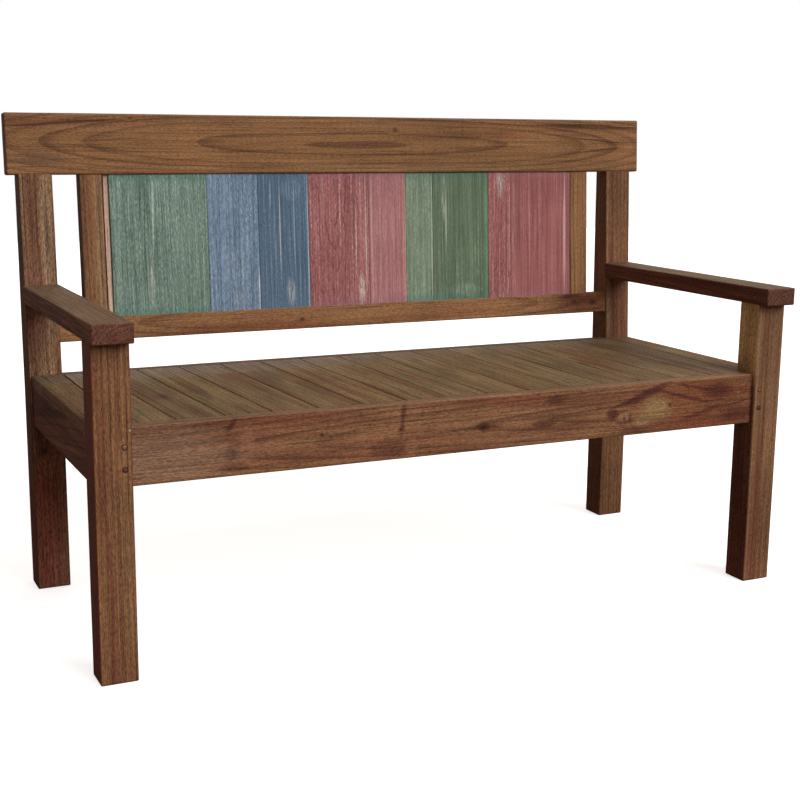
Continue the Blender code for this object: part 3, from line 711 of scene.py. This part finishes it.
# ---------------------------------------------------------------- paints
GREEN = dict(base=(0.236, 0.338, 0.280), pale=(0.385, 0.495, 0.430), deep=(0.122, 0.200, 0.155))
GREEN_LIGHT = dict(base=(0.265, 0.348, 0.250), pale=(0.40, 0.48, 0.37), deep=(0.165, 0.238, 0.160))
GREEN_OLIVE = dict(base=(0.156, 0.224, 0.142), pale=(0.27, 0.345, 0.235),
                   deep=(0.086, 0.136, 0.080))
BLUE = dict(base=(0.224, 0.320, 0.435), pale=(0.360, 0.468, 0.570), deep=(0.130, 0.204, 0.310))
BLUE_DARK = dict(base=(0.128, 0.206, 0.300), pale=(0.240, 0.330, 0.430), deep=(0.070, 0.122, 0.190))
ROSE = dict(base=(0.445, 0.178, 0.172), pale=(0.595, 0.318, 0.310), deep=(0.272, 0.088, 0.090))
ROSE_PALE = dict(base=(0.515, 0.245, 0.245), pale=(0.63, 0.38, 0.375), deep=(0.362, 0.145, 0.150))
ROSE_DEEP = dict(base=(0.430, 0.158, 0.151), pale=(0.575, 0.288, 0.280), deep=(0.262, 0.080, 0.080))
ROSE_MID = dict(base=(0.452, 0.178, 0.170), pale=(0.600, 0.318, 0.308), deep=(0.280, 0.090, 0.090))
MAUVE = (0.36, 0.165, 0.205)
TEAL = (0.085, 0.215, 0.175)
CHALK = (0.72, 0.68, 0.62)
SKY = (0.50, 0.62, 0.72)
GREEN_CRACK = (0.060, 0.115, 0.085)
GREEN_CHALK = (0.55, 0.64, 0.57)
ROSE_CRACK = (0.17, 0.045, 0.048)

BOARD_PAINTS = {
    "green_1": paint("paint_green_1", **GREEN, knots=((0.019, -0.064, 0.010),), cathedral=0.55,
                     pith=(-0.028, -0.022), tilt=(0.03, 0.03), ring=0.0055, band=TEAL,
                     patches=((-0.074, -0.020, 0.050, 0.0055, CHALK, 0.55),
                              (0.060, -0.014, 0.070, 0.0022, GREEN_CHALK, 0.7, 0.02),
                              (0.090, -0.040, 0.055, 0.0017, GREEN_CRACK, 0.85, 0.05),
                              (0.085, -0.028, 0.060, 0.0015, GREEN_CRACK, 0.80, -0.06),
                              (0.020, -0.033, 0.110, 0.0013, GREEN_CRACK, 0.70, 0.03),
                              (0.065, -0.057, 0.040, 0.0018, GREEN_CRACK, 0.60, -0.03),
                              (-0.060, -0.032, 0.085, 0.0015, GREEN_CRACK, 0.75, -0.02),
                              (-0.105, -0.052, 0.040, 0.0035, GREEN_CRACK, 0.45),
                              (0.0, -0.100, 0.17, 0.004, GREEN_CRACK, 0.65),
                              (0.0, 0.101, 0.17, 0.002, (0.25, 0.33, 0.20), 0.6))),
    "blue_1": paint("paint_blue_1", **BLUE, cathedral=0.35, pith=(0.09, -0.03),
                    patches=((-0.10, 0.0552, 0.045, 0.0015, CHALK, 0.9),
                             (-0.050, 0.006, 0.060, 0.026, (0.33, 0.42, 0.52), 0.5),
                             (-0.125, 0.010, 0.018, 0.020, CHALK, 0.25),
                             (0.02, 0.001, 0.13, 0.0012, (0.09, 0.14, 0.24), 0.6))),
    "blue_2": paint("paint_blue_2", **BLUE_DARK, chalk=0.45, cathedral=0.30, combed=0.42, crisp=0.26,
                    patches=((0.010, -0.009, 0.080, 0.0011, CHALK, 0.75),
                             (-0.110, 0.012, 0.025, 0.009, CHALK, 0.55),
                             (0.03, 0.024, 0.080, 0.0012, SKY, 0.55),
                             (0.10, -0.030, 0.030, 0.0015, SKY, 0.5),
                             (0.0, 0.0556, 0.17, 0.0014, SKY, 0.9),
                             (0.11, 0.020, 0.020, 0.020, SKY, 0.25))),
    "rose_1": paint("paint_rose_1", **ROSE, band=MAUVE, cathedral=0.60, pith=(-0.011, -0.050),
                    tilt=(0.0, -0.12), ring=0.0060, chalk=0.5,
                    patches=((-0.112, 0.051, 0.032, 0.008, CHALK, 0.80),
                             (0.045, -0.006, 0.030, 0.0015, ROSE_CRACK, 0.75, 0.22),
                             (0.045, 0.010, 0.030, 0.0015, ROSE_CRACK, 0.75, -0.22),
                             (0.09, -0.038, 0.045, 0.005, (0.66, 0.42, 0.40), 0.5),
                             (0.0, 0.040, 0.10, 0.0012, CHALK, 0.6),
                             (0.02, 0.064, 0.13, 0.0016, CHALK, 0.5))),
    "rose_2": paint("paint_rose_2", **ROSE_PALE, band=MAUVE, combed=0.30, chalk=0.25, crisp=0.20,
                    patches=((0.0, 0.0450, 0.17, 0.0014, (0.85, 0.60, 0.33), 0.95),
                             (0.0, -0.040, 0.15, 0.0016, (0.66, 0.42, 0.41), 0.7),
                             (-0.03, 0.020, 0.10, 0.0020, (0.36, 0.13, 0.14), 0.4))),
    "green_2": paint("paint_green_2", **GREEN_LIGHT, band=TEAL, combed=0.35, crisp=0.26,
                     patches=((0.0, 0.0325, 0.17, 0.0013, CHALK, 0.65),)),
    "green_3": paint("paint_green_3", **GREEN_OLIVE, band=TEAL, chalk=0.30, combed=0.26, crisp=0.18,
                     patches=((0.083, -0.044, 0.050, 0.0040, CHALK, 0.65),
                              (0.04, -0.038, 0.060, 0.0020, GREEN_CHALK, 0.60),
                              (-0.125, 0.010, 0.015, 0.040, GREEN_CHALK, 0.40),
                              (-0.02, 0.066, 0.14, 0.004, (0.12, 0.34, 0.23), 0.7))),
    "rose_3": paint("paint_rose_3", **ROSE_MID, band=MAUVE, chalk=0.7,
                    patches=((0.122, 0.002, 0.030, 0.010, CHALK, 0.75),
                             (0.03, 0.026, 0.13, 0.0016, (0.68, 0.44, 0.42), 0.6))),
    "rose_4": paint("paint_rose_4", **ROSE_DEEP, band=MAUVE, cathedral=0.30, chalk=0.25,
                    combed=0.24, crisp=0.16,
                    patches=((0.0, 0.066, 0.13, 0.003, (0.76, 0.50, 0.52), 0.90),
                             (0.0, 0.078, 0.15, 0.003, (0.40, 0.17, 0.24), 0.50),
                             (0.02, -0.074, 0.13, 0.0040, (0.66, 0.40, 0.39), 0.50),
                             (0.05, -0.050, 0.10, 0.0050, (0.60, 0.32, 0.31), 0.35))),
}
PAINT_SLOTS = {"green": "paint_green", "blue": "paint_blue", "rose": "paint_rose"}

# ---------------------------------------------------------------- legs, posts and arms
SIDES = ("left", "right")
LEG_WOODS = {"left": leg_left_wood, "right": leg_right_wood}
POST_WOODS = {"left": post_left_wood, "right": post_right_wood}
TOP_RAIL_LOW, TOP_RAIL_HIGH = back_box("top_rail")

for index, side in enumerate(SIDES):
    low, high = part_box(f"front_leg_{side}")
    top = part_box(f"armrest_{side}")[0].z + BURIED
    size = (top - low.z, high.x - low.x, high.y - low.y)
    make_board(f"leg_front_{side}", [f"front_leg_{side}"], size, axes(low, "zxy"), FRAME_ARRIS,
               SEED["leg"] + index, LEG_WOODS[side])


def post_places(low_x):
    """A rear post: upright to the crank, then leaning and tapering at its back."""
    def place(points):
        height, across, share = points[:, 0], points[:, 1], points[:, 2] / POST_FOOT_DEPTH
        rise = height - CRANK_HEIGHT
        grown = np.clip(rise / TOP_RAIL_LOW[2], 0, 1)
        depth = share * (POST_FOOT_DEPTH + (POST_TOP_DEPTH - POST_FOOT_DEPTH) * grown)
        upright = np.stack([low_x + across, POST_FRONT + depth, height], -1)
        leaning = on_back(low_x + across, depth, rise)
        bent = np.clip((rise + 0.004) / 0.008, 0, 1)[:, None]
        return upright * (1 - bent) + leaning * bent

    return place


for index, side in enumerate(SIDES):
    low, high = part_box(f"rear_post_{side}")
    length = CRANK_HEIGHT + TOP_RAIL_LOW[2] + BURIED
    size = (length, high.x - low.x, POST_FOOT_DEPTH)
    make_board(f"post_rear_{side}", [f"rear_post_{side}"], size, post_places(low.x), FRAME_ARRIS,
               SEED["post"] + index, POST_WOODS[side])


def arm_places(low, length):
    """An arm, square in front and cut at its back to meet the leaning post."""

    def place(points):
        z = low.z + points[:, 2]
        reach = POST_FRONT + (z - CRANK_HEIGHT) * SIN / COS + BURIED - low.y
        y = low.y + points[:, 0] / length * reach
        return np.stack([low.x + points[:, 1], y, z], -1)

    return place


for index, side in enumerate(SIDES):
    low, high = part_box(f"armrest_{side}")
    length = POST_FRONT + (high.z - CRANK_HEIGHT) * SIN / COS - low.y
    size = (length, high.x - low.x, high.z - low.z)
    make_board(f"arm_{side}", [f"armrest_{side}"], size, arm_places(low, length), FRAME_ARRIS,
               SEED["arm"] + index, arm_wood)

# ---------------------------------------------------------------- seat frame
LEG_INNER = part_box("front_leg_right")[0].x + BURIED
for index, (name, material) in enumerate((("front", front_wood), ("rear", plain_wood))):
    low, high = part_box(f"seat_rail_{name}")
    corner = Vector((-LEG_INNER, low.y, low.z))
    size = (2 * LEG_INNER, high.z - low.z, high.y - low.y)
    make_board(f"rail_{name}", [f"seat_rail_{name}"], size, axes(corner, "xzy"), FRAME_ARRIS,
               SEED["rail"] + index, material)
for index, side in enumerate(SIDES):
    low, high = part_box(f"seat_rail_{side}")
    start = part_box(f"front_leg_{side}")[1].y - BURIED
    corner = Vector((low.x, start, low.z))
    size = (POST_FRONT + BURIED - start, high.z - low.z, high.x - low.x)
    make_board(f"rail_{side}", [f"seat_rail_{side}"], size, axes(corner, "yzx"), FRAME_ARRIS,
               SEED["side_rail"] + index, side_wood)
for index, end in enumerate(("front", "rear")):
    low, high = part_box(f"slat_ledger_{end}")
    size = (high.x - low.x, high.z - low.z, high.y - low.y)
    make_board(f"ledger_{end}", [f"slat_ledger_{end}"], size, axes(low, "xzy"), SLAT_ARRIS,
               SEED["ledger"] + index, plain_wood)

# ---------------------------------------------------------------- slats
slats = [f"seat_slat_{i:02d}" for i in range(1, 16)] + ["seat_slat_end_left", "seat_slat_end_right"]

def slat_places(index):
    """A slat between the legs, whose rear end stands further left than its front end."""
    before = slats[index - 1] if index else "seat_slat_end_left"
    after = slats[index + 1] if index < 14 else "seat_slat_end_right"
    low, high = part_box(slats[index])
    front = (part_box(before)[1].x + SLAT_GAP, high.x)
    rear = (low.x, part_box(after)[0].x - SLAT_GAP)

    def place(points):
        along = points[:, 0] / (high.y - low.y)
        across = points[:, 1] / (high.x - low.x)
        left = front[0] + (rear[0] - front[0]) * along
        right = front[1] + (rear[1] - front[1]) * along
        x = left + (right - left) * across
        return np.stack([x, low.y + points[:, 0], low.z + points[:, 2]], -1)

    return place


tones = np.random.RandomState(SEED["slat_tones"])
for index, node in enumerate(slats):
    low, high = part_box(node)
    shift = tones.uniform(-0.10, 0.10) + 0.20 * max(0, low.x - 0.10)
    warm = tones.uniform(-0.06, 0.06)
    light = tuple(c * (1 + shift + warm * k) for c, k in zip(SLAT_LIGHT, (1, 0, -1)))
    red = tuple(c * (1 + shift + warm * k) for c, k in zip(SLAT_RED, (1, 0, -1)))
    knots = ((-0.048, 0.0, 0.016),) if node == "seat_slat_02" else ()
    grey = 0.75 * min(1, max(0.2, (0.15 - low.x) / 0.35))
    material = slat_wood(f"slat_wood_{index + 1:02d}", light, red,
                         SEED["slat_patches"] + index, grey, knots)
    size = (high.y - low.y, high.x - low.x, high.z - low.z)
    place = axes(low, "yxz") if "end" in node else slat_places(index)
    make_board(node.replace("seat_slat", "slat"), [node], size, place, SLAT_ARRIS,
               SEED["slat"] + index, material)

# ---------------------------------------------------------------- back
low, high = TOP_RAIL_LOW, TOP_RAIL_HIGH
make_board("rail_top", ["top_rail"], (high[0] - low[0], high[2] - low[2], high[1] - low[1]),
           back_axes(low, "xrd"), TOP_RAIL_ARRIS, SEED["top_rail"], top_wood)
low, high = back_box("lower_back_rail")
LOWER_RAIL_TOP = high[2]
corner = (-LEG_INNER, low[1], low[2])
size = (2 * LEG_INNER, high[2] - low[2], high[1] - low[1])
make_board("rail_back_lower", ["lower_back_rail"], size,
           back_axes(corner, "xrd"), FRAME_ARRIS, SEED["lower_rail"], lower_wood)

foot, head = LOWER_RAIL_TOP - BURIED, TOP_RAIL_LOW[2] + BURIED
uprights = [("back_stile_left", "stile_left", stile_left_wood, "frame_wood", FRAME_ARRIS),
            ("back_stile_right", "stile_right", stile_right_wood, "frame_wood", FRAME_ARRIS),
            ("filler_strip", "strip_filler", strip_wood, "bare_strip", BOARD_ARRIS)]
for paint_name, material in BOARD_PAINTS.items():
    uprights.append((f"back_board_{paint_name}", f"board_{paint_name}", material,
                     PAINT_SLOTS[paint_name.split("_")[0]], BOARD_ARRIS))
for index, (node, name, material, slot, arris) in enumerate(uprights):
    low, high = back_box(node)
    seam = BOARD_SEAM if "board" in node else 0.0
    corner = (low[0] - seam, low[1], foot)
    size = (head - foot, high[0] - low[0] + 2 * seam, high[1] - low[1])
    make_board(name, [node], size, back_axes(corner, "rxd"), arris, SEED["upright"] + index,
               material)

# ---------------------------------------------------------------- pegs
PEG_TONES = {"upper": ((0.300, 0.160, 0.085), (0.22, 0.10, 0.055)),
             "lower": ((0.110, 0.050, 0.030), (0.075, 0.028, 0.018)),
             "back": ((0.200, 0.095, 0.050), (0.14, 0.055, 0.030))}
PEG_WOODS = {kind: wood(f"peg_{kind}_wood", light, red, DARK, ring=0.002, warp=0.001)
             for kind, (light, red) in PEG_TONES.items()}


def make_peg(node):
    """A turned peg with a slightly domed head that stands just proud of the wood."""
    low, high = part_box(node)
    radius = (high.x - low.x) / 2
    leaning = node.startswith("back")
    if leaning:
        corner, far = back_box(node)
        base = np.array([(corner[0] + far[0]) / 2, corner[1], (corner[2] + far[2]) / 2])
        depth = far[1] - corner[1]
    else:
        base = np.array([(low.x + high.x) / 2, low.y, (low.z + high.z) / 2])
        depth = high.y - low.y
    profile = [(0.0, 0.0), (0.35, 0.00003), (0.65, 0.0001), (0.86, 0.00025), (0.96, 0.0006),
               (1.0, 0.0012), (1.0, depth / 2), (1.0, depth)]
    count = PEG_SIDES
    turns = np.linspace(0, 2 * math.pi, count, endpoint=False)
    points = [(0.0, -PEG_PROUD, 0.0)]
    for share, back in profile[1:]:
        points += [(math.cos(a) * radius * share, back - PEG_PROUD, math.sin(a) * radius * share)
                   for a in turns]
    points.append((0.0, depth, 0.0))
    faces = [(0, 1 + i, 1 + (i + 1) % count) for i in range(count)]
    for row in range(len(profile) - 2):
        a, b = 1 + row * count, 1 + (row + 1) * count
        faces += [(a + i, b + i, b + (i + 1) % count, a + (i + 1) % count) for i in range(count)]
    last = 1 + (len(profile) - 2) * count
    faces += [(len(points) - 1, last + (i + 1) % count, last + i) for i in range(count)]
    own = np.array(points)
    if leaning:
        world = on_back(base[0] + own[:, 0], base[1] + own[:, 1], base[2] + own[:, 2])
    else:
        world = base + own
    board = own[:, [0, 2, 1]]
    inside = np.full(len(own), 0.01)
    layers = {"board": board, "grain": board * 0.6 + base * 7.3, "rim": inside, "tip": inside}
    kind = "back" if leaning else node.split("_")[-1]
    add_piece(f"pin_{node}", [node], world, faces, layers, PEG_WOODS[kind])


for node in sorted(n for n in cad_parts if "peg" in n):
    make_peg(node)

# ---------------------------------------------------------------- floor, lights and camera
def only_camera(tree, seen, unseen, target):
    """Gives the camera one shader and every other ray another."""
    path = tree.nodes.new("ShaderNodeLightPath")
    mix = tree.nodes.new("ShaderNodeMixShader")
    tree.links.new(path.outputs["Is Camera Ray"], mix.inputs[0])
    tree.links.new(unseen, mix.inputs[1])
    tree.links.new(seen, mix.inputs[2])
    tree.links.new(mix.outputs[0], target)


def make_floor():
    mesh = bpy.data.meshes.new("studio_floor")
    reach = 9.0
    below = -0.0002           # just under the feet, so that the two never share a plane
    corners = [(-reach, -reach, below), (reach, -reach, below), (reach, reach, below),
               (-reach, reach, below)]
    mesh.from_pydata(corners, [], [(0, 1, 2, 3)])
    floor = bpy.data.objects.new("studio_floor", mesh)
    bpy.context.scene.collection.objects.link(floor)
    material = bpy.data.materials.new("studio_floor")
    material.use_nodes = True
    tree = material.node_tree
    pale = tree.nodes["Principled BSDF"]
    pale.inputs["Base Color"].default_value = (0.93, 0.93, 0.93, 1)
    pale.inputs["Roughness"].default_value = 1.0
    pale.inputs["Specular IOR Level"].default_value = 0.0
    pale.inputs["Emission Color"].default_value = (1, 1, 1, 1)
    pale.inputs["Emission Strength"].default_value = 0.72
    dim = tree.nodes.new("ShaderNodeBsdfDiffuse")
    dim.inputs["Color"].default_value = (0.16, 0.125, 0.105, 1)
    only_camera(tree, pale.outputs[0], dim.outputs[0], tree.nodes["Material Output"].inputs[0])
    floor.data.materials.append(material)


def make_world():
    world = bpy.data.worlds.new("studio")
    bpy.context.scene.world = world
    world.use_nodes = True
    tree = world.node_tree
    seen = tree.nodes["Background"]
    seen.inputs[0].default_value = (1, 1, 1, 1)
    seen.inputs[1].default_value = 1.0
    unseen = tree.nodes.new("ShaderNodeBackground")
    unseen.inputs[0].default_value = (1, 0.84, 0.76, 1)
    unseen.inputs[1].default_value = 0.25
    only_camera(tree, seen.outputs[0], unseen.outputs[0], tree.nodes["World Output"].inputs[0])


def sun_light(name, toward, softness, strength, tint=(1.0, 1.0, 1.0)):
    """A wide, distant light. toward points from the bench to the light."""
    data = bpy.data.lights.new(name, "SUN")
    data.color = tint
    data.angle = math.radians(softness)
    data.energy = strength
    light = bpy.data.objects.new(name, data)
    light.location = toward
    light.rotation_euler = Vector(toward).to_track_quat("Z", "Y").to_euler()
    bpy.context.scene.collection.objects.link(light)


def make_camera():
    yaw, pitch, roll = CAMERA_YAW, CAMERA_PITCH, CAMERA_ROLL
    ahead = Vector((-math.sin(yaw) * math.cos(pitch), math.cos(yaw) * math.cos(pitch),
                    math.sin(pitch)))
    level = Vector((math.cos(yaw), math.sin(yaw), 0))
    up = level.cross(ahead)
    right = level * math.cos(roll) + up * math.sin(roll)
    top = up * math.cos(roll) - level * math.sin(roll)
    turn = Matrix((right, top, -ahead)).transposed().to_4x4()
    data = bpy.data.cameras.new("camera")
    data.lens = CAMERA_LENS
    data.sensor_width = 36
    data.clip_start = 0.05
    camera = bpy.data.objects.new("camera", data)
    camera.matrix_world = Matrix.Translation(CAMERA_PLACE) @ turn
    bpy.context.scene.collection.objects.link(camera)
    bpy.context.scene.camera = camera


make_floor()
make_world()
sun_light("key", (2.2, -4.4, 3.3), 45, 2.15)
sun_light("top", (0.8, 0.6, 4.0), 60, 0.18, (1.0, 0.92, 0.80))
sun_light("rear", (1.6, 4.2, 1.5), 70, 0.55, (1.0, 0.86, 0.72))
make_camera()
bpy.context.scene.view_settings.view_transform = "Standard"
